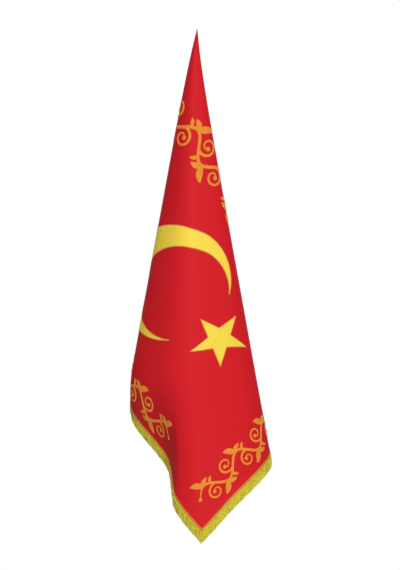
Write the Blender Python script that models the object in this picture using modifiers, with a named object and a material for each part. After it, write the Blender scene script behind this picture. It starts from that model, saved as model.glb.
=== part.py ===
"""A fringed ceremonial banner, hung from one corner of its cloth.

The cloth is a flat rectangle, 1.00 m along the hoist and 1.25 m along the fly. It hangs from the corner
where those two edges meet, so every thread line runs out from that corner and the cloth falls as a cone
with folds. The front of the cone shows the middle of the cloth. The fly side is folded in behind the front,
and the hoist side closes the back in deep waves. A fringe is sewn below each of the two lower edges.

Metres, +Z up. The origin is the point that the corner hangs from, and the front faces -Y.
"""

import math

import bmesh
import bpy
from mathutils import Vector

# The flat cut
HOIST = 1.00  # from the hung corner down the hoist edge
FLY = 1.25  # from the hung corner along the top edge
CORNER_ANGLE = math.degrees(math.atan2(HOIST, FLY))  # flat angle of the line to the lowest corner
CLOTH = 0.0012  # thickness of the satin with its backing
HEM = 0.0020  # thickness of the turned hem
HEM_WIDTH = 0.015
SEAM_GAP = 0.0004  # between the hem and the fringe's heading

# The hang
HANG_LINE = (0.015, -0.115)  # across and depth slopes of the line to the lowest corner
SIDE_PULL = 0.012  # how far the cloth below the hung corner is pulled to the left
DROP = 0.010  # how far the folds' meeting point lies under the hung corner
PULL_LENGTH = 0.12  # the distance over which both come in
TOP_FORM = 1.10  # above this distance from the corner the folds keep their top headings
HEM_FORM = 1.45  # below this one they keep their hem headings

# The gathered corner, where the layers are pressed together
TIP_TOP = 0.008  # the distance from the corner that gives the size of its level top
TIP_LENGTH = 0.100
TIP_PROUD = 0.0004  # how far its foot stands out from the middle of the outer layer
CLOTH_START = 0.092  # the sheet begins here, inside the gathered corner

# The fringes
HEADING = 0.008  # height of the woven heading
STRAND_LENGTH = 0.035
STRAND_UNEVEN = 0.0015
UNEVEN_TURN = 2.4  # radians from one strand's length to the next
STRAND_FOLLOW = 0.4  # 0 lets the strands hang plumb, 1 keeps them in the plane of the cloth
STRAND_THICK = 0.0020
STRAND_SHARE = 0.62  # share of the pitch that a strand takes at its root
STRAND_TAPER = 0.85  # share of that width left at its end
END_CLEAR = 0.002  # a fringe stops this far short of the cloth's corners
BOTTOM_STRANDS = 138
FLY_STRANDS = 110

# The meshes
COLUMNS_FLY = 50  # between the top edge and the lowest corner
COLUMNS_BOTTOM = 70  # between the lowest corner and the hoist
ROWS = 10
ROW_POWER = 1.6  # above 1 sets the rows closer near the hung corner
SECTION_STEPS = 900
FORMS = 9  # sections worked out between the top form and the hem form
NORMAL_STEP = 0.002  # half the distance over which a normal is measured

RIGHT_EDGE = 26.0  # flat angle of the front's right edge

# The way that the section runs at each flat angle from the top edge, in degrees: 0 is to the right, 90 is
# to the back, 180 is to the left and 270 is to the front.
# flat angle, heading near the top, heading at the hem
FOLDS = (
    (0.0, 310, 310),  # free top edge, inside the cone
    (4.0, 275, 275),
    (9.0, 455, 455),
    (13.0, 260, 260),
    (17.0, 460, 460),
    (21.5, 265, 265),
    (24.0, 400, 400),
    (RIGHT_EDGE, 290, 290),
    (28.0, 240, 240),
    (30.5, 215, 215),
    (33.5, 200, 200),
    (38.0, 195, 190),  # lowest corner
    (41.5, 175, 145),
    (43.5, 160, 100),  # a soft fold that is deep at the hem and fades upwards
    (46.0, 145, 100),
    (48.0, 140, 120),
    (50.0, 135, 130),
    (52.0, 125, 130),
    (54.5, 90, 115),  # left edge of the front, near the top
    (57.0, 85, 85),  # and at the hem
    (60.0, 40, 20),
    (63.0, -70, -75),
    (69.0, 80, 75),
    (75.0, -80, -80),
    (80.0, 85, 90),
    (87.0, -80, -80),
    (90.0, 0, 0),  # hoist edge, outside at the back
)

# Cloth that hangs across its threads stretches downwards and draws in sideways, in per cent.
# flat angle, stretch along the line from the corner, narrowing across it
BIAS = (
    (0.0, 0.0, 0.0),
    (20.0, 0.5, 0.5),
    (27.0, 1.0, 1.0),
    (34.0, 2.0, 2.0),
    (38.5, 3.5, 3.0),
    (41.0, 4.0, 3.0),
    (45.0, 4.0, 3.0),
    (57.0, 3.0, 3.0),
    (75.0, 0.5, 0.5),
    (90.0, 0.0, 0.0),
)

RED = (0.50, 0.010, 0.018, 1.0)
GOLD = (0.62, 0.50, 0.045, 1.0)


def eased(rows, at, column):
    """The value of a table's column at a flat angle, on a smooth curve that never overshoots its rows."""
    last = len(rows) - 2
    k = 0
    while k < last and at > rows[k + 1][0]:
        k += 1

    def slope(i):
        return (rows[i + 1][column] - rows[i][column]) / (rows[i + 1][0] - rows[i][0])

    def rate(i):
        if i == 0:
            return slope(0) / 2
        if i == len(rows) - 1:
            return slope(last) / 2
        before, after = slope(i - 1), slope(i)
        if before * after <= 0:
            return 0.0
        return 2 * before * after / (before + after)

    step = rows[k + 1][0] - rows[k][0]
    t = (at - rows[k][0]) / step
    start = rows[k][column] * (1 + 2 * t) + rate(k) * step * t
    end = rows[k + 1][column] * (3 - 2 * t) - rate(k + 1) * step * (1 - t)
    return start * (1 - t) ** 2 + end * t * t


def section(form):
    """Unit directions from the hung corner at even flat angles. form 0 is near the top, 1 at the hem."""
    angles = [90 * k / SECTION_STEPS for k in range(SECTION_STEPS + 1)]
    ways, arcs = [], []
    for angle in angles:
        heading = eased(FOLDS, angle, 1) * (1 - form) + eased(FOLDS, angle, 2) * form
        ways.append(Vector((math.cos(math.radians(heading)), math.sin(math.radians(heading)), 0)))
        narrowed = (1 - eased(BIAS, angle, 2) / 100) / (1 + eased(BIAS, angle, 1) / 100)
        arcs.append(narrowed * math.radians(90 / SECTION_STEPS))
    middle = round(CORNER_ANGLE / 90 * SECTION_STEPS)
    directions = [None] * len(angles)
    directions[middle] = Vector((*HANG_LINE, -1)).normalized()
    for side, stop in ((1, SECTION_STEPS), (-1, 0)):
        for k in range(middle, stop, side):
            here = directions[k]
            way = ways[k] + ways[k + side]
            way = (way - here * way.dot(here)).normalized()
            directions[k + side] = (here + way * side * (arcs[k] + arcs[k + side]) / 2).normalized()
    return directions


SECTIONS = [section(k / (FORMS - 1)) for k in range(FORMS)]


def direction(angle, form):
    """The unit direction from the hung corner to the cloth at a flat angle."""
    across = min(max(angle / 90, 0), 1) * SECTION_STEPS
    deep = min(max(form, 0), 1) * (FORMS - 1)
    column = min(int(across), SECTION_STEPS - 1)
    level = min(int(deep), FORMS - 2)
    near = SECTIONS[level][column].lerp(SECTIONS[level][column + 1], across - column)
    far = SECTIONS[level + 1][column].lerp(SECTIONS[level + 1][column + 1], across - column)
    return near.lerp(far, deep - level).normalized()


def hung(distance, angle):
    """Where a point of the flat cloth hangs, from its flat distance from the corner and its flat angle."""
    reach = distance * (1 + eased(BIAS, angle, 1) / 100)
    t = min(max((reach - TOP_FORM) / (HEM_FORM - TOP_FORM), 0), 1)
    pull = 1 - math.exp(-reach / PULL_LENGTH)
    return direction(angle, t * t * (3 - 2 * t)) * reach + Vector((-SIDE_PULL, 0, -DROP)) * pull


def hung_flat(along_fly, down_hoist):
    """The same from the two flat distances, along the top edge and down the hoist."""
    distance = math.hypot(along_fly, down_hoist)
    return hung(distance, math.degrees(math.atan2(down_hoist, along_fly)))


def facing(along_fly, down_hoist):
    """The outward normal of the cloth at a point of the flat cut."""
    near = NORMAL_STEP
    fly = hung_flat(along_fly + near, down_hoist) - hung_flat(along_fly - near, down_hoist)
    hoist = hung_flat(along_fly, down_hoist + near) - hung_flat(along_fly, down_hoist - near)
    return hoist.cross(fly).normalized()


def edge_distance(angle):
    """Flat distance from the hung corner to the lower edge."""
    if angle < CORNER_ANGLE:
        return FLY / math.cos(math.radians(angle))
    return HOIST / math.sin(math.radians(angle))


def column_angle(column):
    if column <= COLUMNS_FLY:
        return CORNER_ANGLE * column / COLUMNS_FLY
    return CORNER_ANGLE + (90 - CORNER_ANGLE) * (column - COLUMNS_FLY) / COLUMNS_BOTTOM


def row_distance(row, edge):
    """Rows run from the gathered corner to the hem's inner line, and the last one is the edge."""
    if row == ROWS:
        return edge
    return CLOTH_START + (edge - HEM_WIDTH - CLOTH_START) * (row / (ROWS - 1)) ** ROW_POWER


def material(name, colour, roughness, sheen):
    made = bpy.data.materials.new(name)
    made.use_nodes = True
    shader = made.node_tree.nodes["Principled BSDF"]
    shader.inputs["Base Color"].default_value = colour
    shader.inputs["Roughness"].default_value = roughness
    shader.inputs["Metallic"].default_value = 0.0
    shader.inputs["Sheen Weight"].default_value = sheen
    return made


def add_object(name, bm, collection, finish):
    mesh = bpy.data.meshes.new(name)
    bm.to_mesh(mesh)
    bm.free()
    mesh.materials.append(finish)
    made = bpy.data.objects.new(name, mesh)
    collection.objects.link(made)
    return made


def make_gathered_corner(collection, finish):
    """The outline of the outer layers, drawn together to the hung corner as one solid piece."""
    first = next(c for c in range(COLUMNS_FLY) if column_angle(c) >= RIGHT_EDGE)
    angles = [column_angle(c) for c in range(first, COLUMNS_FLY + COLUMNS_BOTTOM + 1)]
    bm = bmesh.new()
    ring = [bm.verts.new(hung(TIP_LENGTH, a)) for a in angles]
    bottom = bm.faces.new(ring)
    raised = bmesh.ops.extrude_face_region(bm, geom=[bottom], use_keep_orig=True)
    top = [v for v in raised["geom"] if isinstance(v, bmesh.types.BMVert)]
    size = TIP_TOP / TIP_LENGTH
    for v in top:
        v.co = Vector((v.co.x * size, v.co.y * size, 0))
    bmesh.ops.recalc_face_normals(bm, faces=bm.faces[:])
    bm.normal_update()
    moves = {v: Vector((v.normal.x, v.normal.y, 0)).normalized() * TIP_PROUD for v in bm.verts}
    for v, move in moves.items():
        v.co += move * (size if v in top else 1)
    corner = add_object("gathered_corner", bm, collection, finish)
    corner.hide_render = True
    corner.display_type = "WIRE"
    return corner


def make_cloth(collection, finish, corner):
    """The whole cloth, one sheet of even thickness with a thicker hem, joined to its gathered corner."""
    columns = COLUMNS_FLY + COLUMNS_BOTTOM
    bm = bmesh.new()
    bmesh.ops.create_grid(bm, x_segments=columns, y_segments=ROWS, size=0.5)
    weights = bm.verts.layers.deform.verify()
    for v in bm.verts:
        angle = column_angle(round((v.co.x + 0.5) * columns))
        row = round((v.co.y + 0.5) * ROWS)
        v.co = hung(row_distance(row, edge_distance(angle)), angle)
        v[weights][0] = 1.0 if row >= ROWS - 1 else 0.0
    cloth = add_object("banner_cloth", bm, collection, finish)
    cloth.vertex_groups.new(name="hem")
    thicken = cloth.modifiers.new("thickness", "SOLIDIFY")
    thicken.thickness = HEM
    thicken.offset = 0
    thicken.vertex_group = "hem"
    thicken.thickness_vertex_group = CLOTH / HEM
    join = cloth.modifiers.new("gathered corner", "BOOLEAN")
    join.operation = "UNION"
    join.solver = "MANIFOLD"  # the exact solver loses so thin a sheet
    join.object = corner
    return cloth


def make_fringe(name, strands, place, collection, finish):
    """A comb of strands under a heading, laid out as whole steps and then bent along the edge.

    One step across is a strand or the space beside it. place gives the flat point at a share of the edge's
    length and a distance below it.
    """
    steps = 2 * strands - 1
    bm = bmesh.new()
    bmesh.ops.create_grid(bm, x_segments=steps, y_segments=1, size=0.5)
    for v in bm.verts:
        v.co = Vector((round((v.co.x + 0.5) * steps), round(v.co.y + 0.5), 0))
    roots = [f for f in bm.faces if int(f.calc_center_median().x) % 2 == 0]
    raised = bmesh.ops.extrude_face_region(bm, geom=bm.faces[:], use_keep_orig=True)
    for v in raised["geom"]:
        if isinstance(v, bmesh.types.BMVert):
            v.co.z = 1
    lowered = bmesh.ops.extrude_discrete_faces(bm, faces=roots)
    for face in lowered["faces"]:
        for v in face.verts:
            v.co.z = -1
    for v in bm.verts:
        strand, part = divmod(v.co.x, 2)
        width = STRAND_SHARE * (STRAND_TAPER if v.co.z < 0 else 1)
        across = (strand + 0.5 + (part - 0.5) * width) / strands
        below = SEAM_GAP + (HEADING if v.co.z < 1 else 0)
        flat = place(across, below)
        normal = facing(*flat)
        point = hung_flat(*flat) + normal * (v.co.y - 0.5) * STRAND_THICK
        if v.co.z < 0:
            fall = Vector((0, 0, -1))
            fall = (fall - normal * normal.dot(fall) * STRAND_FOLLOW).normalized()
            point += fall * (STRAND_LENGTH + STRAND_UNEVEN * math.sin(UNEVEN_TURN * strand))
        v.co = point
    return add_object(name, bm, collection, finish)


def below_bottom(share, below):
    """Along the bottom edge, from just past the lowest corner to the hoist."""
    return (FLY + HEADING) * (1 - share) + END_CLEAR * share, HOIST + below


def below_fly(share, below):
    """Along the fly edge, from the top edge to just above the lowest corner."""
    return FLY + below, END_CLEAR * (1 - share) + (HOIST - END_CLEAR) * share


def new_collection(name):
    made = bpy.data.collections.new(name)
    bpy.context.scene.collection.children.link(made)
    return made


def main():
    for old in list(bpy.data.objects):
        bpy.data.objects.remove(old)
    banner = new_collection("tasselled_banner")
    joined = new_collection("joined_pieces")
    satin = material("red_satin", RED, 0.42, 0.3)
    gold = material("gold_fringe", GOLD, 0.55, 0.2)
    corner = make_gathered_corner(joined, satin)
    make_cloth(banner, satin, corner)
    make_fringe("bottom_fringe", BOTTOM_STRANDS, below_bottom, banner, gold)
    make_fringe("fly_fringe", FLY_STRANDS, below_fly, banner, gold)


main()
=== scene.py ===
# %% [markdown]
# # A fringed banner hung from one corner
# This lesson dresses a plain model of a ceremonial banner. The real thing is one piece of heavy red satin,
# cut 1.00 m by 1.25 m, with a crescent and a star applied in yellow, a border of embroidered vines, and a
# gold fringe below its two lower edges. It hangs from one corner, so it falls as a tall folded cone.
#
# Everything sewn on the cloth is laid out flat first, in metres on the uncut cloth, and then carried onto
# the hung shape by one function. That is how a maker works too: sew flat, hang afterwards.

# %% Load the frame
import math
import random

import bmesh
import bpy
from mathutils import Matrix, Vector


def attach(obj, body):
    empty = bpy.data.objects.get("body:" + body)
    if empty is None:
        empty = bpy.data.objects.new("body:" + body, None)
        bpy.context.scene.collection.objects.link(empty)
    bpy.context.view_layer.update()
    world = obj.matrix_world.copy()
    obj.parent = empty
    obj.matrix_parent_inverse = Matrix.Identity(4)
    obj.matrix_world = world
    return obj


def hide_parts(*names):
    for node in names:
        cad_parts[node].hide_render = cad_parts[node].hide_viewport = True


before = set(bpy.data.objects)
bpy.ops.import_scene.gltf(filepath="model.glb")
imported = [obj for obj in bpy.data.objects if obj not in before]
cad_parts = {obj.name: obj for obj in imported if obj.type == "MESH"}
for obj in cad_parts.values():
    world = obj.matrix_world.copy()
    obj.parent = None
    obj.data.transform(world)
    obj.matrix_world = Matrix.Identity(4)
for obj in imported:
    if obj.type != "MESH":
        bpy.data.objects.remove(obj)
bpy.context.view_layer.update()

# %% [markdown]
# ## Camera
# The banner was pictured level, from far away, so its near and far parts show at one scale. A very long
# lens 60 m off does the same. The frame is 400 by 570, and one of its pixels is 3.3 mm at the banner.

# %% Camera
IMAGE_WIDTH, IMAGE_HEIGHT = 400, 570
PIXEL = 0.0033  # metres at the banner
HANG_X, HANG_Y = 197.3, 28.0  # where the hung corner shows, in pixels
CAMERA_DISTANCE = 60.0
SENSOR = 36.0

middle_x = (IMAGE_WIDTH / 2 - HANG_X) * PIXEL
middle_z = -(IMAGE_HEIGHT / 2 - HANG_Y) * PIXEL
lens = bpy.data.cameras.new("long_lens")
lens.sensor_width = SENSOR
lens.lens = SENSOR * CAMERA_DISTANCE / (IMAGE_HEIGHT * PIXEL)
lens.clip_end = 100
camera = bpy.data.objects.new("camera", lens)
camera.location = (middle_x, -CAMERA_DISTANCE, middle_z)
camera.rotation_euler = (math.radians(90), 0, 0)
bpy.context.scene.collection.objects.link(camera)
bpy.context.scene.camera = camera
print("lens", round(lens.lens), "mm")

# %% [markdown]
# ## How the cloth hangs
# A flat cloth held at one corner keeps every straight line from that corner straight, so the hung shape is
# a cone with folds. One table says which way the cone's section runs at each flat angle, from the top edge
# (0 degrees) to the hoist edge (90 degrees). Satin that hangs across its threads also stretches a little.
# The same table shapes the plain model, so all that is sewn here lies where that model is.

# %% The flat cut and the folds
HOIST = 1.00  # from the hung corner down the hoist edge
FLY = 1.25  # from the hung corner along the top edge
CORNER_ANGLE = math.degrees(math.atan2(HOIST, FLY))  # flat angle of the line to the lowest corner
HANG_LINE = (0.015, -0.115)  # across and depth slopes of the line to the lowest corner
SIDE_PULL = 0.012  # how far the cloth below the hung corner is pulled to the left
DROP = 0.010  # how far the folds' meeting point lies under the hung corner
PULL_LENGTH = 0.12  # the distance over which both come in
TOP_FORM = 1.10  # above this distance from the corner the folds keep their top headings
HEM_FORM = 1.45  # below this one they keep their hem headings
SECTION_STEPS = 900
FORMS = 9  # sections worked out between the top form and the hem form
NORMAL_STEP = 0.002  # half the distance over which a normal is measured
RIGHT_EDGE = 26.0  # flat angle of the front's right edge

# Degrees, seen from above: 0 is to the right, 90 is to the back, 180 is to the left, 270 is to the front.
# flat angle, heading near the top, heading at the hem
FOLDS = (
    (0.0, 310, 310),  # free top edge, inside the cone
    (4.0, 275, 275),
    (9.0, 455, 455),
    (13.0, 260, 260),
    (17.0, 460, 460),
    (21.5, 265, 265),
    (24.0, 400, 400),
    (RIGHT_EDGE, 290, 290),
    (28.0, 240, 240),
    (30.5, 215, 215),
    (33.5, 200, 200),
    (38.0, 195, 190),  # lowest corner
    (41.5, 175, 145),
    (43.5, 160, 100),  # a soft fold that is deep at the hem and fades upwards
    (46.0, 145, 100),
    (48.0, 140, 120),
    (50.0, 135, 130),
    (52.0, 125, 130),
    (54.5, 90, 115),  # left edge of the front, near the top
    (57.0, 85, 85),  # and at the hem
    (60.0, 40, 20),
    (63.0, -70, -75),
    (69.0, 80, 75),
    (75.0, -80, -80),
    (80.0, 85, 90),
    (87.0, -80, -80),
    (90.0, 0, 0),  # hoist edge, outside at the back
)

# flat angle, stretch along the line from the corner in per cent, narrowing across it in per cent
BIAS = (
    (0.0, 0.0, 0.0),
    (20.0, 0.5, 0.5),
    (27.0, 1.0, 1.0),
    (34.0, 2.0, 2.0),
    (38.5, 3.5, 3.0),
    (41.0, 4.0, 3.0),
    (45.0, 4.0, 3.0),
    (57.0, 3.0, 3.0),
    (75.0, 0.5, 0.5),
    (90.0, 0.0, 0.0),
)
print(len(FOLDS), "rows of folds, lowest corner at", round(CORNER_ANGLE, 2), "degrees")


# %% The section of the cone
def eased(rows, at, column):
    """The value of a table's column at a flat angle, on a smooth curve that never overshoots its rows."""
    last = len(rows) - 2
    k = 0
    while k < last and at > rows[k + 1][0]:
        k += 1

    def slope(i):
        return (rows[i + 1][column] - rows[i][column]) / (rows[i + 1][0] - rows[i][0])

    def rate(i):
        if i == 0:
            return slope(0) / 2
        if i == len(rows) - 1:
            return slope(last) / 2
        before, after = slope(i - 1), slope(i)
        if before * after <= 0:
            return 0.0
        return 2 * before * after / (before + after)

    step = rows[k + 1][0] - rows[k][0]
    t = (at - rows[k][0]) / step
    start = rows[k][column] * (1 + 2 * t) + rate(k) * step * t
    end = rows[k + 1][column] * (3 - 2 * t) - rate(k + 1) * step * (1 - t)
    return start * (1 - t) ** 2 + end * t * t


def section(form):
    """Unit directions from the hung corner at even flat angles. form 0 is near the top, 1 at the hem."""
    angles = [90 * k / SECTION_STEPS for k in range(SECTION_STEPS + 1)]
    ways, arcs = [], []
    for angle in angles:
        heading = eased(FOLDS, angle, 1) * (1 - form) + eased(FOLDS, angle, 2) * form
        ways.append(Vector((math.cos(math.radians(heading)), math.sin(math.radians(heading)), 0)))
        narrowed = (1 - eased(BIAS, angle, 2) / 100) / (1 + eased(BIAS, angle, 1) / 100)
        arcs.append(narrowed * math.radians(90 / SECTION_STEPS))
    start = round(CORNER_ANGLE / 90 * SECTION_STEPS)
    directions = [None] * len(angles)
    directions[start] = Vector((*HANG_LINE, -1)).normalized()
    for side, stop in ((1, SECTION_STEPS), (-1, 0)):
        for k in range(start, stop, side):
            here = directions[k]
            way = ways[k] + ways[k + side]
            way = (way - here * way.dot(here)).normalized()
            directions[k + side] = (here + way * side * (arcs[k] + arcs[k + side]) / 2).normalized()
    return directions


SECTIONS = [section(k / (FORMS - 1)) for k in range(FORMS)]
print(len(SECTIONS), "sections of", SECTION_STEPS, "steps")


# %% From the flat cloth to the hung one
STRETCH = [eased(BIAS, 90 * k / SECTION_STEPS, 1) / 100 for k in range(SECTION_STEPS + 1)]


def hung_flat(along_fly, down_hoist):
    """Where a point of the flat cloth hangs, from its distances along the top edge and down the hoist."""
    distance = math.hypot(along_fly, down_hoist)
    across = min(max(math.atan2(down_hoist, along_fly) / math.radians(90), 0), 1) * SECTION_STEPS
    column = min(int(across), SECTION_STEPS - 1)
    part = across - column
    reach = distance * (1 + STRETCH[column] * (1 - part) + STRETCH[column + 1] * part)
    t = min(max((reach - TOP_FORM) / (HEM_FORM - TOP_FORM), 0), 1)
    deep = t * t * (3 - 2 * t) * (FORMS - 1)
    level = min(int(deep), FORMS - 2)
    near = SECTIONS[level][column].lerp(SECTIONS[level][column + 1], part)
    far = SECTIONS[level + 1][column].lerp(SECTIONS[level + 1][column + 1], part)
    pull = 1 - math.exp(-reach / PULL_LENGTH)
    return near.lerp(far, deep - level).normalized() * reach + Vector((-SIDE_PULL, 0, -DROP)) * pull


def facing(along_fly, down_hoist):
    """The outward normal of the cloth at a point of the flat cut."""
    near = NORMAL_STEP
    fly = hung_flat(along_fly + near, down_hoist) - hung_flat(along_fly - near, down_hoist)
    hoist = hung_flat(along_fly, down_hoist + near) - hung_flat(along_fly, down_hoist - near)
    return hoist.cross(fly).normalized()


lowest = hung_flat(FLY, HOIST)
print("lowest corner", [round(x, 3) for x in lowest])

# %% [markdown]
# A sewn hem is never quite flat: the thread draws it in, and it ripples. These small waves die out within a
# few centimetres of the edge. They are added along the cloth's own normal, for the cloth and for all that
# is sewn on it, so nothing comes loose or sinks in.

# %% Puckers along the sewn edges
PUCKER = 0.0009  # height of the ripples at the hem
PUCKER_REACH = 0.035
PUCKER_WAVES = ((0.041, 0.0), (0.027, 1.3), (0.073, 2.1))  # wavelength along the hem, start


def pucker(along_fly, down_hoist):
    """Height of the hem's ripples at a flat point."""
    edge = min(FLY - along_fly, HOIST - down_hoist)
    along = down_hoist if FLY - along_fly < HOIST - down_hoist else along_fly
    waves = sum(math.sin(math.tau * along / length + start) for length, start in PUCKER_WAVES)
    return PUCKER * waves / len(PUCKER_WAVES) * math.exp(-max(edge, 0) / PUCKER_REACH)


def on_cloth(along_fly, down_hoist, height=0.0):
    """A point of the hung banner, some height above the middle of its cloth."""
    rise = pucker(along_fly, down_hoist) + height
    return hung_flat(along_fly, down_hoist) + facing(along_fly, down_hoist) * rise


# %% [markdown]
# ## Making pieces
# Each piece starts as a bmesh that lies flat, with a UV map that keeps the flat place of every point. A
# helper turns it into an object that rides with the model's one body, and smooths its faces.

# %% A piece from a bmesh
BODY = "root"


def add_piece(name, bm, finish, smooth_angle=40):
    """An object from a bmesh that is already in place."""
    mesh = bpy.data.meshes.new(name)
    bm.to_mesh(mesh)
    bm.free()
    mesh.materials.append(finish)
    mesh.shade_smooth()
    mesh.set_sharp_from_angle(angle=math.radians(smooth_angle))
    made = bpy.data.objects.new(name, mesh)
    bpy.context.scene.collection.objects.link(made)
    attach(made, BODY)
    print(name, len(mesh.polygons), "faces")
    return made


# %% [markdown]
# ## Materials
# A shader tree is a few nodes joined by links. One helper adds a node and sets it, and another makes the
# start that all finishes share. Values that are the same all over a surface go straight on the shader.

# %% Helpers for materials
def new_finish(name, roughness, sheen, sheen_tint, specular):
    """A material with its tree and its shader."""
    made = bpy.data.materials.new(name)
    made.use_nodes = True
    shader = made.node_tree.nodes["Principled BSDF"]
    shader.inputs["Roughness"].default_value = roughness
    shader.inputs["Sheen Weight"].default_value = sheen
    shader.inputs["Sheen Tint"].default_value = (*sheen_tint, 1)
    shader.inputs["Sheen Roughness"].default_value = 0.4
    shader.inputs["Specular IOR Level"].default_value = specular
    return made, made.node_tree, shader


def add_node(tree, kind, inputs=(), **settings):
    """Adds a node. inputs maps a socket's name or number to a value or to another node's socket."""
    node = tree.nodes.new(kind)
    for key, value in settings.items():
        setattr(node, key, value)
    for key, value in dict(inputs).items():
        if isinstance(value, bpy.types.NodeSocket):
            tree.links.new(value, node.inputs[key])
        else:
            node.inputs[key].default_value = value
    return node


def flat_place(tree, name, scale, turn=0.0):
    """Coordinates from a UV map in metres, stretched for a texture."""
    place = add_node(tree, "ShaderNodeUVMap", uv_map=name)
    inputs = {"Vector": place.outputs["UV"], "Scale": scale, "Rotation": (0, 0, turn)}
    return add_node(tree, "ShaderNodeMapping", inputs).outputs["Vector"]


def spread(tree, value, low, high):
    """Maps a texture's 0 to 1 onto low to high."""
    inputs = {"Value": value, "To Min": low, "To Max": high}
    return add_node(tree, "ShaderNodeMapRange", inputs).outputs["Result"]


def tinted(tree, colour, *shares):
    """A colour with its brightness multiplied by each share."""
    result = None
    for share in shares:
        inputs = {"Color": colour if result is None else result, "Value": share}
        result = add_node(tree, "ShaderNodeHueSaturation", inputs).outputs["Color"]
    return result


def raised(tree, shader, height, distance, before=None):
    """Bump from a height, on top of any earlier bump."""
    inputs = {"Height": height, "Distance": distance, "Strength": 1.0}
    if before is not None:
        inputs["Normal"] = before
    bump = add_node(tree, "ShaderNodeBump", inputs).outputs["Normal"]
    tree.links.new(bump, shader.inputs["Normal"])
    return bump


# %% [markdown]
# Satin floats most of its warp threads on the face, so it shows fine lines along one direction, a few
# thicker threads, and a soft bloom at grazing angles. The lines come from noise that is drawn out along the
# threads, and broad noise makes the tone a little uneven.

# %% Red satin
RED = (0.52, 0.0125, 0.018, 1)


def make_satin():
    made, tree, shader = new_finish("red_satin", 0.50, 0.01, (1.0, 0.25, 0.22), 0.02)
    warp = add_node(tree, "ShaderNodeTexNoise", {
        "Vector": flat_place(tree, "cut", (260, 2600, 1)), "Scale": 1.0, "Detail": 2.0})
    weft = add_node(tree, "ShaderNodeTexNoise", {
        "Vector": flat_place(tree, "cut", (1500, 90, 1)), "Scale": 1.0, "Detail": 1.0})
    cloudy = add_node(tree, "ShaderNodeTexNoise", {
        "Vector": flat_place(tree, "cut", (7, 7, 1)), "Scale": 1.0, "Detail": 3.0})
    shades = (
        spread(tree, warp.outputs["Fac"], 0.93, 1.07),
        spread(tree, weft.outputs["Fac"], 0.96, 1.04),
        spread(tree, cloudy.outputs["Fac"], 0.97, 1.03),
    )
    tree.links.new(tinted(tree, RED, *shades), shader.inputs["Base Color"])
    rough = spread(tree, warp.outputs["Fac"], 0.40, 0.52)
    tree.links.new(rough, shader.inputs["Roughness"])
    bump = raised(tree, shader, warp.outputs["Fac"], 0.00012)
    raised(tree, shader, weft.outputs["Fac"], 0.00010, bump)
    return made


satin = make_satin()
print("finish:", satin.name)

# %% [markdown]
# Embroidery is made of threads laid side by side across each shape. Every stroke carries a UV map with the
# distance along it and across it, in metres, so a wave along the first draws one stitch after another, as
# bump and as painted shade that darkens the grooves between stitches. Stitches lean a little, and the
# thread's colour shifts where a new length starts.

# %% Embroidery threads and the emblem's cloth
SCROLL_GOLD = (0.72, 0.25, 0.028, 1)
EMBLEM_YELLOW = (0.74, 0.55, 0.055, 1)
EDGE_GOLD = (0.68, 0.30, 0.06, 1)
STITCH_PITCH = 0.0009
WAVE_BAND = math.tau / 20  # length of one band of a Wave texture at a scale of 1


def make_thread(name, colour, lean):
    """Satin stitch. lean is how many radians the stitches slant."""
    made, tree, shader = new_finish(name, 0.42, 0.03, (1.0, 0.8, 0.4), 0.12)
    place = flat_place(tree, "sewn", (1, 1, 1), lean)
    stitches = add_node(tree, "ShaderNodeTexWave", {
        "Vector": place, "Scale": WAVE_BAND / STITCH_PITCH, "Distortion": 0.6, "Detail": 1.0},
        wave_type="BANDS", bands_direction="X")
    lengths = add_node(tree, "ShaderNodeTexNoise", {
        "Vector": flat_place(tree, "sewn", (160, 20, 1)), "Scale": 1.0, "Detail": 2.0})
    # The stitch wave also darkens the colour in the grooves between stitches: painted shade.
    shades = (
        spread(tree, stitches.outputs["Fac"], 0.88, 1.06),
        spread(tree, lengths.outputs["Fac"], 0.90, 1.10),
    )
    tree.links.new(tinted(tree, colour, *shades), shader.inputs["Base Color"])
    raised(tree, shader, stitches.outputs["Fac"], 0.00022)
    return made


def make_emblem_cloth():
    made, tree, shader = new_finish("yellow_satin", 0.44, 0.02, (1.0, 0.9, 0.5), 0.08)
    warp = add_node(tree, "ShaderNodeTexNoise", {
        "Vector": flat_place(tree, "cut", (240, 2200, 1)), "Scale": 1.0, "Detail": 2.0})
    cloudy = add_node(tree, "ShaderNodeTexNoise", {
        "Vector": flat_place(tree, "cut", (14, 14, 1)), "Scale": 1.0, "Detail": 2.0})
    shades = (
        spread(tree, warp.outputs["Fac"], 0.94, 1.06),
        spread(tree, cloudy.outputs["Fac"], 0.97, 1.03),
    )
    tree.links.new(tinted(tree, EMBLEM_YELLOW, *shades), shader.inputs["Base Color"])
    raised(tree, shader, warp.outputs["Fac"], 0.00012)
    return made


scroll_thread = make_thread("scroll_thread", SCROLL_GOLD, 0.35)
edge_thread = make_thread("edge_thread", EDGE_GOLD, 0.2)
emblem_cloth = make_emblem_cloth()
print("finishes:", scroll_thread.name, edge_thread.name, emblem_cloth.name)

# %% [markdown]
# The fringe is rayon yarn, two plies twisted together. Each strand has its own tone, kept as an attribute
# on its points, and a slanted wave across its UV map draws the twist, as bump and as painted shade that
# darkens the grooves between the plies.

# %% Fringe yarn
YARN_GOLD = (0.72, 0.63, 0.055, 1)
TWIST_PITCH = 0.0016


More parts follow.
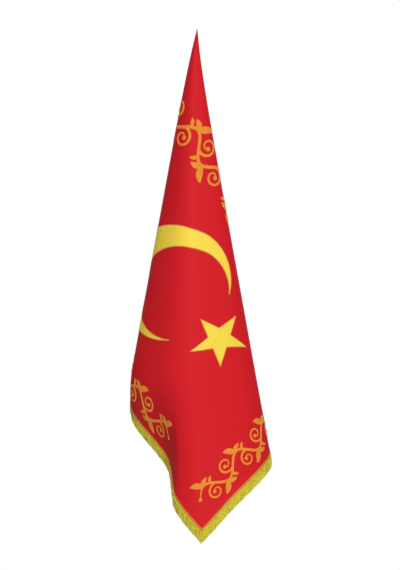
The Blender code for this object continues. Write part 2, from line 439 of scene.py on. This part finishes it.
def make_yarn():
    made, tree, shader = new_finish("gold_yarn", 0.55, 0.04, (1.0, 0.95, 0.5), 0.12)
    tone = add_node(tree, "ShaderNodeAttribute", attribute_name="tone")
    twist = add_node(tree, "ShaderNodeTexWave", {
        "Vector": flat_place(tree, "sewn", (1, 1, 1), 0.8), "Scale": WAVE_BAND / TWIST_PITCH,
        "Distortion": 0.4, "Detail": 1.0}, wave_type="BANDS", bands_direction="X")
    # The twist wave also darkens the colour in the grooves between the plies: painted shade.
    shades = (
        spread(tree, tone.outputs["Fac"], 0.88, 1.08),
        spread(tree, twist.outputs["Fac"], 0.90, 1.06),
    )
    tree.links.new(tinted(tree, YARN_GOLD, *shades), shader.inputs["Base Color"])
    raised(tree, shader, twist.outputs["Fac"], 0.0002)
    return made


yarn = make_yarn()
print("finish:", yarn.name)

# %% [markdown]
# ## The cloth
# The sheet is a grid whose columns are lines from the hung corner and whose rows are distances from it.
# The front has closer columns, because the emblem lies there and has to follow it. Solidify gives the
# thickness, and a vertex group makes the turned hems thicker. The rows stop just short of the corner, where
# the layers are pressed together to a point.

# %% Cloth sheet
CLOTH = 0.0006
HEM = 0.0016
HEM_WIDTH = 0.015
HEM_STEP = 0.001  # the width over which the cloth thickens into its hem
HEM_ROWS = 4
HEM_START = 0.08  # nearer the hung corner than this the side hems are gathered in with the cloth
CLOTH_START = 0.003
COLUMNS = ((0.0, 27.0, 90), (27.0, 58.0, 190), (58.0, 90.0, 120))  # from, to, how many
ROWS = 96
ROW_POWER = 1.35  # above 1 sets the rows closer towards the hem


def edge_distance(angle):
    """Flat distance from the hung corner to the lower edge."""
    if angle < CORNER_ANGLE:
        return FLY / math.cos(math.radians(angle))
    return HOIST / math.sin(math.radians(angle))


def column_angles():
    """Flat angles of the columns, with one on the line to the lowest corner."""
    angles = [0.0]
    for start, stop, count in COLUMNS:
        angles += [start + (stop - start) * (k + 1) / count for k in range(count)]
    nearest = min(range(len(angles)), key=lambda k: abs(angles[k] - CORNER_ANGLE))
    angles[nearest] = CORNER_ANGLE
    return angles


def row_distance(row, edge):
    """Rows run from the corner to the hem's inner line, across its step, and to the edge in a few more."""
    inner = ROWS - HEM_ROWS
    if row <= inner:
        return CLOTH_START + (edge - HEM_WIDTH - CLOTH_START) * (row / inner) ** (1 / ROW_POWER)
    return edge - HEM_WIDTH + HEM_STEP + (HEM_WIDTH - HEM_STEP) * (row - inner - 1) / (HEM_ROWS - 1)


def make_cloth():
    angles = column_angles()
    columns = len(angles) - 1
    bm = bmesh.new()
    bmesh.ops.create_grid(bm, x_segments=columns, y_segments=ROWS, size=0.5)
    uv = bm.loops.layers.uv.new("cut")
    weights = bm.verts.layers.deform.verify()
    flat = {}
    for v in bm.verts:
        angle = math.radians(angles[round((v.co.x + 0.5) * columns)])
        row = round((v.co.y + 0.5) * ROWS)
        distance = row_distance(row, edge_distance(math.degrees(angle)))
        a, b = distance * math.cos(angle), distance * math.sin(angle)
        flat[v] = (a, b)
        sides = min(a, b) < HEM_WIDTH and distance > HEM_START
        v[weights][0] = 1.0 if row > ROWS - HEM_ROWS or sides else 0.0
        v.co = on_cloth(a, b)
    for face in bm.faces:
        for loop in face.loops:
            loop[uv].uv = flat[loop.vert]
    cloth = add_piece("satin_cloth", bm, satin, 60)
    cloth.vertex_groups.new(name="hem")
    thicken = cloth.modifiers.new("thickness", "SOLIDIFY")
    thicken.thickness = HEM
    thicken.offset = 0
    thicken.vertex_group = "hem"
    thicken.thickness_vertex_group = CLOTH / HEM
    return cloth


cloth = make_cloth()
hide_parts("banner_cloth")

# %% [markdown]
# ## Embroidered strokes
# Everything embroidered is one kind of shape: a low, rounded band along a line, whose width changes as it
# goes. A grid laid along the line makes its top, and extruding the grid down makes it a closed body that
# dips a little into the cloth, as real stitches do. A leaf is the same band with a groove down its middle.

# %% A stroke on the cloth
SUNK = 0.0003  # how far an embroidered shape reaches below the cloth's face
FACE = CLOTH / 2  # height of the cloth's face over its middle
GROOVE_WIDTH = 0.22  # of a leaf's groove, as a share of the leaf's half width


def along_line(line, share):
    """The point and the sideways unit vector at a share of a list of flat points."""
    at = share * (len(line) - 1)
    k = min(int(at), len(line) - 2)
    here, after = Vector(line[k]), Vector(line[k + 1])
    before = Vector(line[max(k - 1, 0)])
    further = Vector(line[min(k + 2, len(line) - 1)])
    way = (after - before).lerp(further - here, at - k).normalized()
    return here.lerp(after, at - k), Vector((-way.y, way.x))


def line_length(line):
    return sum((Vector(q) - Vector(p)).length for p, q in zip(line, line[1:]))


def add_stroke(bm, line, width, height, steps, groove=0.0, sides=6):
    """A raised band along flat points. width and height are functions of the share of the way along."""
    uv = bm.loops.layers.uv["sewn"]
    laid = bmesh.ops.create_grid(bm, x_segments=steps, y_segments=sides, size=0.5)
    faces = list({f for v in laid["verts"] for f in v.link_faces})
    lifted = bmesh.ops.extrude_face_region(bm, geom=faces, use_keep_orig=True)
    top = {v for v in lifted["geom"] if isinstance(v, bmesh.types.BMVert)}
    length = line_length(line)
    sewn = {}
    for v in [*laid["verts"], *top]:
        share, across = v.co.x + 0.5, v.co.y * 2
        point, sideways = along_line(line, share)
        half = width(share) / 2
        place = point + sideways * across * half
        lift = -SUNK
        if v in top:
            crown = math.sqrt(max(1 - across * across, 0))
            crown *= 1 - groove * math.exp(-((across / GROOVE_WIDTH) ** 2))
            lift = height(share) * crown if abs(across) < 0.999 else -SUNK / 2
        sewn[v] = (share * length, across * half)
        v.co = on_cloth(place.x, place.y, FACE + lift)
    bmesh.ops.reverse_faces(bm, faces=faces)
    for v in sewn:
        for loop in v.link_loops:
            loop[uv].uv = sewn[v]


# %% [markdown]
# ## The emblem
# The crescent is the space between two circles, and the star is a ten-sided fan whose inner corners are
# pulled in, both cut from yellow satin and edged with satin stitch. Both are drawn flat, about the line
# from the crescent's centre towards the fly, from the size of the outer circle alone. The hanging cloth
# lengthens them and the turned sides narrow them, so they are laid out a little shorter and broader.

# %% Crescent and star
EMBLEM_CENTRE = (0.558, 0.581)
EMBLEM_TILT = math.radians(3)
OUTER_RADIUS = 0.200
INNER_RADIUS = OUTER_RADIUS * 0.82
INNER_OFFSET = OUTER_RADIUS * 0.24
STAR_OFFSET = OUTER_RADIUS * 1.31
STAR_RADIUS = OUTER_RADIUS * 0.48
STAR_TURN = math.radians(180)
STAR_CORNERS = 10
STAR_WAIST = 0.382  # the inner corners' radius as a share of the tips'
FALL_SHARE = 0.92  # the emblem's height down the drape, as a share of its round shape
SIDE_SHARE = 1.14  # and its width across it
APPLIQUE = 0.0006
EDGING_WIDTH = 0.0036
EDGING_HEIGHT = 0.0011


def emblem_place(along, across):
    """A flat point from the emblem's own axes, eased to the drape's own directions."""
    c, s = math.cos(EMBLEM_TILT), math.sin(EMBLEM_TILT)
    middle = Vector(EMBLEM_CENTRE)
    turned = Vector((along * c - across * s, along * s + across * c))
    fall = middle.normalized()
    side = Vector((-fall.y, fall.x))
    return middle + fall * turned.dot(fall) * FALL_SHARE + side * turned.dot(side) * SIDE_SHARE


tip_along = (OUTER_RADIUS**2 - INNER_RADIUS**2 + INNER_OFFSET**2) / (2 * INNER_OFFSET)
tip_across = math.sqrt(OUTER_RADIUS**2 - tip_along**2)
OUTER_TIP = math.atan2(tip_across, tip_along)
INNER_TIP = math.atan2(tip_across, tip_along - INNER_OFFSET)
print("crescent", round(2 * OUTER_RADIUS, 3), "m across, its points", round(2 * tip_across, 3), "m apart")


def arc(radius, offset, first, share):
    """A point on an arc from one point of the crescent round the back to the other."""
    angle = first + (math.tau - 2 * first) * share
    return emblem_place(offset + radius * math.cos(angle), radius * math.sin(angle))


def star_corners():
    """The star's ten corners, tips first."""
    corners = []
    for k in range(STAR_CORNERS):
        radius = STAR_RADIUS * (1 if k % 2 == 0 else STAR_WAIST)
        angle = STAR_TURN + k * math.tau / STAR_CORNERS
        corners.append(emblem_place(STAR_OFFSET + radius * math.cos(angle), radius * math.sin(angle)))
    return corners


def lay_applique(name, bm):
    """Thickens a flat shape, drops it on the cloth and makes it a piece."""
    uv = bm.loops.layers.uv.new("cut")
    lifted = bmesh.ops.extrude_face_region(bm, geom=bm.faces[:], use_keep_orig=True)
    top = {v for v in lifted["geom"] if isinstance(v, bmesh.types.BMVert)}
    for face in bm.faces:
        for loop in face.loops:
            loop[uv].uv = loop.vert.co.xy
    for v in bm.verts:
        v.co = on_cloth(v.co.x, v.co.y, FACE + (APPLIQUE if v in top else -SUNK))
    bmesh.ops.recalc_face_normals(bm, faces=bm.faces[:])
    return add_piece(name, bm, emblem_cloth, 50)


def make_crescent():
    bm = bmesh.new()
    bmesh.ops.create_grid(bm, x_segments=240, y_segments=14, size=0.5)
    for v in bm.verts:
        share, across = v.co.x + 0.5, v.co.y + 0.5
        outer = arc(OUTER_RADIUS, 0, OUTER_TIP, share)
        inner = arc(INNER_RADIUS, INNER_OFFSET, INNER_TIP, share)
        v.co = inner.lerp(outer, across).to_3d()
    bmesh.ops.remove_doubles(bm, verts=bm.verts[:], dist=0.0001)
    return lay_applique("crescent", bm)


def make_star():
    bm = bmesh.new()
    made = bmesh.ops.create_circle(bm, cap_ends=True, cap_tris=True, segments=STAR_CORNERS, radius=1)
    corners = star_corners()
    for v in made["verts"]:
        if v.co.length > 0.5:
            turn = math.atan2(v.co.y, v.co.x) / math.tau - 0.25
            v.co = corners[round(turn * STAR_CORNERS) % STAR_CORNERS].to_3d()
        else:
            v.co = emblem_place(STAR_OFFSET, 0).to_3d()
    bmesh.ops.subdivide_edges(bm, edges=bm.edges[:], cuts=15, use_grid_fill=True)
    return lay_applique("star", bm)


crescent = make_crescent()
star = make_star()

# %% Edging of the emblem
ARC_POINTS = 160


def make_edging():
    bm = bmesh.new()
    bm.loops.layers.uv.new("sewn")
    shares = [k / ARC_POINTS for k in range(ARC_POINTS + 1)]
    outer = [arc(OUTER_RADIUS, 0, OUTER_TIP, s) for s in shares]
    inner = [arc(INNER_RADIUS, INNER_OFFSET, INNER_TIP, s) for s in shares]
    corners = star_corners()
    lines = [(outer, 320), (inner, 280)]
    for here, there in zip(corners, corners[1:] + corners[:1]):
        lines.append(([here, here.lerp(there, 0.5), there], 16))
    for line, steps in lines:
        add_stroke(bm, line, lambda s: EDGING_WIDTH, lambda s: EDGING_HEIGHT, steps, sides=4)
    return add_piece("emblem_edging", bm, edge_thread, 50)


edging = make_edging()

# %% [markdown]
# ## The vine border
# Three sides of the cloth carry a running vine. Its stem is a wave, and from each half wave a tendril
# curls inwards to a berry, with a leaf on either side and a small third one on the stem. The band is drawn
# along its own straight line, with one function for a wave, and set along each side from a short table.

# %% Vine parts
STEM_WIDTH = 0.0090
STEM_HEIGHT = 0.0013
TENDRIL_WIDTH = 0.0080
LEAF_WIDTH = 0.0200
LEAF_LENGTH = 0.045
LEAF_HEIGHT = 0.0015
BERRY_RADIUS = 0.0065
BERRY_HEIGHT = 0.0022
WAVE_HEIGHT = 0.026
CURL = math.radians(470)  # how far a tendril turns in all
CURL_CLOSE = 0.80  # how much of its radius it loses on the way


def curl_line(start, heading, turn, radius):
    """Flat points of a tendril that leaves a place in a heading and curls in. turn is 1 or -1."""
    points = [Vector(start)]
    steps = 44
    way = heading
    for k in range(steps):
        step = radius * (1 - CURL_CLOSE * (k / steps)) * CURL / steps
        way += turn * CURL / steps
        points.append(points[-1] + Vector((math.cos(way), math.sin(way))) * step)
    return points


def leaf_line(start, heading, bend, length):
    """Flat points down the middle of a leaf that bends as it goes."""
    points = [Vector(start)]
    steps = 10
    for k in range(steps):
        way = heading + bend * (k + 0.5) / steps
        points.append(points[-1] + Vector((math.cos(way), math.sin(way))) * length / steps)
    return points


def leaf_width(share):
    """How much of its full width a leaf has at a share of its length."""
    return math.sin(math.pi * min(share, 1) ** 0.8) ** 0.75 + 0.03


def leaf_height(share):
    """Its height, full at the middle and about a third of that at both ends."""
    return LEAF_HEIGHT * (0.35 + 0.65 * math.sin(math.pi * min(max(share, 0.02), 0.98)))


def add_leaf(bm, place, start, heading, bend, length):
    wide = LEAF_WIDTH * length / LEAF_LENGTH
    line = [place(p) for p in leaf_line(start, heading, bend, length)]
    add_stroke(bm, line, lambda s: wide * leaf_width(s), leaf_height, 18, groove=0.75, sides=8)


def add_berry(bm, place, centre, radius):
    uv = bm.loops.layers.uv["sewn"]
    ball = bmesh.ops.create_uvsphere(bm, u_segments=14, v_segments=8, radius=1)
    for v in ball["verts"]:
        local = v.co.copy()
        flat = place(Vector(centre) + local.xy * radius)
        for loop in v.link_loops:
            loop[uv].uv = local.xy * radius
        lift = local.z * BERRY_HEIGHT if local.z > 0 else local.z * SUNK
        v.co = on_cloth(flat.x, flat.y, FACE + lift)


# %% A running vine
# where along the wave past each crossing, heading, bend, size
LEAVES = (
    (0.30, 1.25, -0.9, 1.0),
    (0.30, 2.25, 0.9, 0.8),
    (0.12, 2.1, 0.5, 0.55),
)


def add_vine(bm, place, length, waves, size):
    """A vine of some waves along its own line from 0 to length. place turns its points into flat ones."""
    wave = length / waves
    rise = math.tau * WAVE_HEIGHT * size / wave

    def stem(s):
        return Vector((s, WAVE_HEIGHT * size * math.sin(math.tau * s / wave)))

    def taper(share):
        return STEM_WIDTH * size * min(1, 0.35 + 12 * share, 0.35 + 12 * (1 - share))

    count = waves * 24
    points = [place(stem(length * k / count)) for k in range(count + 1)]
    add_stroke(bm, points, taper, lambda s: STEM_HEIGHT, waves * 36, sides=6)
    for end in (0, length):
        add_berry(bm, place, stem(end), BERRY_RADIUS * size)
    for half in range(2 * waves):
        side = 1 if half % 2 == 0 else -1
        s = wave * (half / 2 + 0.02)
        slope = math.atan(rise * math.cos(math.tau * s / wave))
        curl = curl_line(stem(s), slope - side * 0.25, -side, wave * 0.185)
        tendril = [place(p) for p in curl]
        add_stroke(bm, tendril, lambda t: TENDRIL_WIDTH * size * (1 - 0.45 * t), lambda t: STEM_HEIGHT, 56)
        add_berry(bm, place, curl[-1], BERRY_RADIUS * size)
        for past, heading, bend, part in LEAVES:
            root = stem(wave * (half / 2 + past))
            add_leaf(bm, place, root, side * heading, side * bend, LEAF_LENGTH * size * part)


def make_vines():
    bm = bmesh.new()
    bm.loops.layers.uv.new("sewn")
    for name, origin, way, across, length, waves, size in VINES:
        def place(p, origin=Vector(origin), way=Vector(way), across=Vector(across)):
            return origin + way * p.x + across * p.y

        add_vine(bm, place, length, waves, size)
        print(name, waves, "waves over", length, "m")
    bmesh.ops.recalc_face_normals(bm, faces=bm.faces[:])
    return add_piece("vine_border", bm, scroll_thread, 50)


VINE_INSET = 0.078  # from the lower edges to the middle of the vine
# name, start on the flat cut, way along, way across, length, waves, size of its leaves and curls
VINES = (
    ("top vine", (0.12, 0.225), (1, 0), (0, 1), 0.90, 5, 1.25),
    ("fly vine", (FLY - VINE_INSET, 0.20), (0, 1), (1, 0), 0.74, 5, 1.0),
    ("bottom vine", (0.16, HOIST - VINE_INSET), (1, 0), (0, 1), 0.75, 5, 1.0),
)
vines = make_vines()

# %% [markdown]
# The fringe is held to the hem by a close zigzag in thick thread, which shows as a thin warm line just
# above the gold. It is one more stroke, along both lower edges.

# %% Hem stitching
STITCH_INSET = 0.0026
STITCH_WIDTH = 0.0040
STITCH_HEIGHT = 0.0014  # above the cloth's face, so a little above the thicker hem
STITCH_STEP = 0.003
CORNER_CLEAR = 0.006


def make_hem_stitching():
    fly, bottom = FLY - STITCH_INSET, HOIST - STITCH_INSET
    bm = bmesh.new()
    bm.loops.layers.uv.new("sewn")
    for start, end in (((fly, CORNER_CLEAR), (fly, bottom)), ((fly, bottom), (CORNER_CLEAR, bottom))):
        steps = round((Vector(end) - Vector(start)).length / STITCH_STEP)
        line = [Vector(start).lerp(Vector(end), k / steps) for k in range(steps + 1)]
        add_stroke(bm, line, lambda s: STITCH_WIDTH, lambda s: STITCH_HEIGHT, steps, sides=3)
    bmesh.ops.recalc_face_normals(bm, faces=bm.faces[:])
    return add_piece("hem_stitching", bm, edge_thread, 50)


hem_stitching = make_hem_stitching()

# %% [markdown]
# ## The fringes
# A fringe is bought by the metre: a woven heading with yarns looped through it. The heading goes behind the
# hem and is sewn there. One strand is made first, as a square bar turned along its length so that its
# edges wind round it like plies, and an Array repeats it. Then each copy is moved to its own place under
# the hem, with its own length, lean and tone.

# %% Heading of a fringe
HEADING = 0.008
HEADING_TUCK = 0.004  # how far it goes up behind the hem
HEADING_THICK = 0.0016
HEADING_PITCH = 0.0032  # length of one turn of its plait
TUCK_STEP = 0.001  # the height over which it passes behind the hem
END_CLEAR = 0.002  # it stops this far short of the cloth's other corners


def below_bottom(share, below):
    """Along the bottom edge, from just past the lowest corner to the hoist."""
    return (FLY + HEADING) * (1 - share) + END_CLEAR * share, HOIST + below


def below_fly(share, below):
    """Along the fly edge, from the top edge to just above the lowest corner."""
    return FLY + below, END_CLEAR * (1 - share) + (HOIST - END_CLEAR) * share


def make_heading(name, place, length):
    bm = bmesh.new()
    columns, rows = round(length / HEADING_PITCH * 4), 8
    bmesh.ops.create_grid(bm, x_segments=columns, y_segments=rows, size=0.5)
    uv = bm.loops.layers.uv.new("sewn")
    lifted = bmesh.ops.extrude_face_region(bm, geom=bm.faces[:], use_keep_orig=True)
    front = {v for v in lifted["geom"] if isinstance(v, bmesh.types.BMVert)}
    tone = bm.verts.layers.float.new("tone")
    for v in bm.verts:
        share, up = v.co.x + 0.5, v.co.y + 0.5
        below = HEADING - (HEADING + HEADING_TUCK) * up
        flat = place(share, below)
        plait = math.sin(math.tau * (share * length / HEADING_PITCH + 0.5 * math.sin(math.tau * up)))
        thick = HEADING_THICK * (0.80 + 0.20 * plait) / 2
        tuck = -(HEM + HEADING_THICK) / 2 * min(max((TUCK_STEP - below) / TUCK_STEP, 0), 1)
        # The tone follows the plait, so it is darker where the heading is thinner: painted shade in the
        # plait's hollows.
        v[tone] = 0.45 + 0.1 * plait
        for loop in v.link_loops:
            loop[uv].uv = (share * length, up * HEADING)
        v.co = on_cloth(*flat, tuck + (thick if v in front else -thick))
    bmesh.ops.recalc_face_normals(bm, faces=bm.faces[:])
    return add_piece(name, bm, yarn, 50)


# %% Strands of a fringe
STRAND_LENGTH = 0.0315
STRAND_RADIUS = 0.0016
STRAND_PITCH = 0.0020
STRAND_TURNS = 2.6
STRAND_RINGS = 10
LAYERS = 3
LAYER_DEPTH = 0.0010
STRAND_FOLLOW = 0.4  # 0 lets the strands hang plumb, 1 keeps them in the plane of the cloth
ARRAY_STEP = 4.0  # spacing of the upright strands, before each goes to its place


def make_strand_row(count):
    """A mesh of count upright strands, each from 0 to 1 in Z and a unit across, a step apart in X."""
    bm = bmesh.new()
    made = bmesh.ops.create_circle(bm, cap_ends=True, segments=4, radius=1)
    face = made["verts"][0].link_faces[0]
    for _ in range(STRAND_RINGS):
        grown = bmesh.ops.extrude_face_region(bm, geom=[face])
        face = next(f for f in grown["geom"] if isinstance(f, bmesh.types.BMFace))
        bmesh.ops.translate(bm, verts=face.verts[:], vec=(0, 0, 1 / STRAND_RINGS))
    bmesh.ops.recalc_face_normals(bm, faces=bm.faces[:])
    mesh = bpy.data.meshes.new("strand")
    bm.to_mesh(mesh)
    bm.free()
    single = bpy.data.objects.new("strand", mesh)
    bpy.context.scene.collection.objects.link(single)
    repeat = single.modifiers.new("row", "ARRAY")
    repeat.count = count
    repeat.use_relative_offset = False
    repeat.use_constant_offset = True
    repeat.constant_offset_displace = (ARRAY_STEP, 0, 0)
    graph = bpy.context.evaluated_depsgraph_get()
    row = bpy.data.meshes.new_from_object(single.evaluated_get(graph))
    bpy.data.objects.remove(single)
    return row


# %% Where each strand goes
# height, length and start of each wave in the fringe's lower edge
LENGTH_WAVES = ((0.0005, 0.043, 0), (0.0003, 0.017, 1))
TONE_WAVE = 0.09  # length of the slow change from paler to darker strands


def lay_out_strand(draw, place, share, layer, length):
    """The place, directions and small differences of one strand at a share of the heading's length."""
    flat = place(share, HEADING * 0.75)
    normal = facing(*flat)
    beside = hung_flat(*place(min(share + 0.001, 1), HEADING))
    side = (beside - hung_flat(*place(share, HEADING))).normalized()
    plumb = Vector((0, 0, -1))
    fall = (plumb - normal * normal.dot(plumb) * STRAND_FOLLOW).normalized()
    along = math.tau * share * length
    wave = sum(high * math.sin(along / long + start) for high, long, start in LENGTH_WAVES)
    return {
        "root": on_cloth(*flat, (0.5 * (LAYERS - 1) - layer) * LAYER_DEPTH),
        "fall": fall,
        "side": side,
        "out": side.cross(fall).normalized(),
        "length": STRAND_LENGTH + HEADING * 0.25 + wave + draw.uniform(-0.0006, 0.0004),
        "lean": draw.gauss(0, 0.005),
        "swell": draw.gauss(0, 0.0003),
        "start": draw.uniform(0, math.tau),
        "tone": min(max(draw.gauss(0.5, 0.17) + 0.12 * math.sin(along / TONE_WAVE), 0), 1),
    }


# %% The strands of one fringe
def make_fringe(name, place, length, seed, reach):
    """Strands under a heading, in layers that are set half a pitch apart and a little deeper.

    reach is the share of the heading's length that they cover, a little over 1 where they run on.
    """
    draw = random.Random(seed)
    in_layer = round(length / STRAND_PITCH)
    strands = []
    for k in range(in_layer * LAYERS):
        layer, place_in = divmod(k, in_layer)
        share = (place_in + 0.5 + 0.5 * (layer % 2) + draw.uniform(-0.12, 0.12)) / (in_layer + 0.5)
        share = min(max(share, 0.0005), 0.9995) * reach
        strands.append(lay_out_strand(draw, place, share, layer, length))
    bm = bmesh.new()
    bm.from_mesh(make_strand_row(len(strands)))
    uv = bm.loops.layers.uv.new("sewn")
    tone = bm.verts.layers.float.new("tone")
    for v in bm.verts:
        k = round(v.co.x / ARRAY_STEP)
        strand = strands[k]
        share = v.co.z
        twist = strand["start"] + math.tau * STRAND_TURNS * share
        angle = math.atan2(v.co.y, v.co.x - k * ARRAY_STEP) + twist
        radius = STRAND_RADIUS * (1 + 0.12 * math.sin(math.pi * share)) * (0.9 if share > 0.99 else 1)
        down = strand["length"] * share
        sway = strand["lean"] * down + strand["swell"] * math.sin(math.pi * 1.5 * share)
        round_it = strand["side"] * math.cos(angle) + strand["out"] * math.sin(angle)
        v.co = strand["root"] + strand["fall"] * down + strand["side"] * sway + round_it * radius
        v[tone] = strand["tone"]
        for loop in v.link_loops:
            loop[uv].uv = (down, (angle % math.tau) * STRAND_RADIUS)
    bmesh.ops.recalc_face_normals(bm, faces=bm.faces[:])
    return add_piece(name, bm, yarn, 60)


# %% Both fringes
# name, place, length, how far the strands run on past the heading's end, node, seed
FRINGES = (
    ("bottom", below_bottom, FLY, 0.0, "bottom_fringe", 11),
    ("fly", below_fly, HOIST, HEADING, "fly_fringe", 12),
)
for name, place, length, run_on, node, seed in FRINGES:
    heading = make_heading(name + "_heading", place, length)
    strands = make_fringe(name + "_strands", place, length + run_on, seed, 1 + run_on / length)
    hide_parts(node)

# %% [markdown]
# ## Studio
# A pale floor lies a little below the banner. The room is white all round and lights the cloth softly. One
# large lamp a little to the right of the camera makes the front bright and lets both sides fall into shade.
# Two more stand behind, left and right, so that the back is as well lit as the front, and a weak one fills
# the hollow of the lower left fold.

# %% Floor, lamps and room
FLOOR_Z = -1.90
FLOOR_RADIUS = 2.2
ROOM_LIGHT = 0.16
# name, azimuth, elevation, distance, size, power
LAMPS = (
    ("key", 12, 20, 5.0, 2.0, 255),
    ("low_left", 300, -15, 2.4, 0.8, 3),
    ("back_right", 150, 25, 5.0, 2.5, 130),
    ("back_left", 210, 25, 5.0, 2.5, 130),
)


def make_floor():
    bm = bmesh.new()
    bmesh.ops.create_circle(bm, cap_ends=True, segments=96, radius=FLOOR_RADIUS)
    bmesh.ops.translate(bm, verts=bm.verts[:], vec=(0, 0, FLOOR_Z))
    mesh = bpy.data.meshes.new("floor")
    bm.to_mesh(mesh)
    bm.free()
    pale = bpy.data.materials.new("pale_floor")
    pale.use_nodes = True
    shader = pale.node_tree.nodes["Principled BSDF"]
    shader.inputs["Base Color"].default_value = (0.80, 0.80, 0.79, 1)
    shader.inputs["Roughness"].default_value = 0.8
    mesh.materials.append(pale)
    made = bpy.data.objects.new("floor", mesh)
    bpy.context.scene.collection.objects.link(made)


def add_lamp(name, azimuth, elevation, distance, size, power):
    """A square lamp that looks at the middle of the banner. Azimuth 0 is at the camera, 90 to the right."""
    a, e = math.radians(azimuth), math.radians(elevation)
    aim = Vector((0, 0, middle_z))
    away = Vector((math.sin(a) * math.cos(e), -math.cos(a) * math.cos(e), math.sin(e)))
    data = bpy.data.lights.new(name, "AREA")
    data.size = size
    data.energy = power
    lamp = bpy.data.objects.new(name, data)
    lamp.location = aim + away * distance
    lamp.rotation_euler = away.to_track_quat("Z", "Y").to_euler()
    bpy.context.scene.collection.objects.link(lamp)


def make_room(strength):
    """White to the eye, and a softer light on the cloth."""
    world = bpy.data.worlds.new("white_room")
    world.use_nodes = True
    tree = world.node_tree
    tree.nodes.clear()
    seen = add_node(tree, "ShaderNodeBackground", {"Color": (1, 1, 1, 1), "Strength": 1.0})
    light = add_node(tree, "ShaderNodeBackground", {"Color": (1, 0.985, 0.97, 1), "Strength": strength})
    ray = add_node(tree, "ShaderNodeLightPath")
    mix = add_node(tree, "ShaderNodeMixShader", {
        0: ray.outputs["Is Camera Ray"], 1: light.outputs[0], 2: seen.outputs[0]})
    out = add_node(tree, "ShaderNodeOutputWorld")
    tree.links.new(mix.outputs[0], out.inputs["Surface"])
    bpy.context.scene.world = world


make_floor()
make_room(ROOM_LIGHT)
for lamp in LAMPS:
    add_lamp(*lamp)
print(len(LAMPS), "lamps, floor at", FLOOR_Z, "m")
bpy.context.scene.view_settings.view_transform = "Standard"
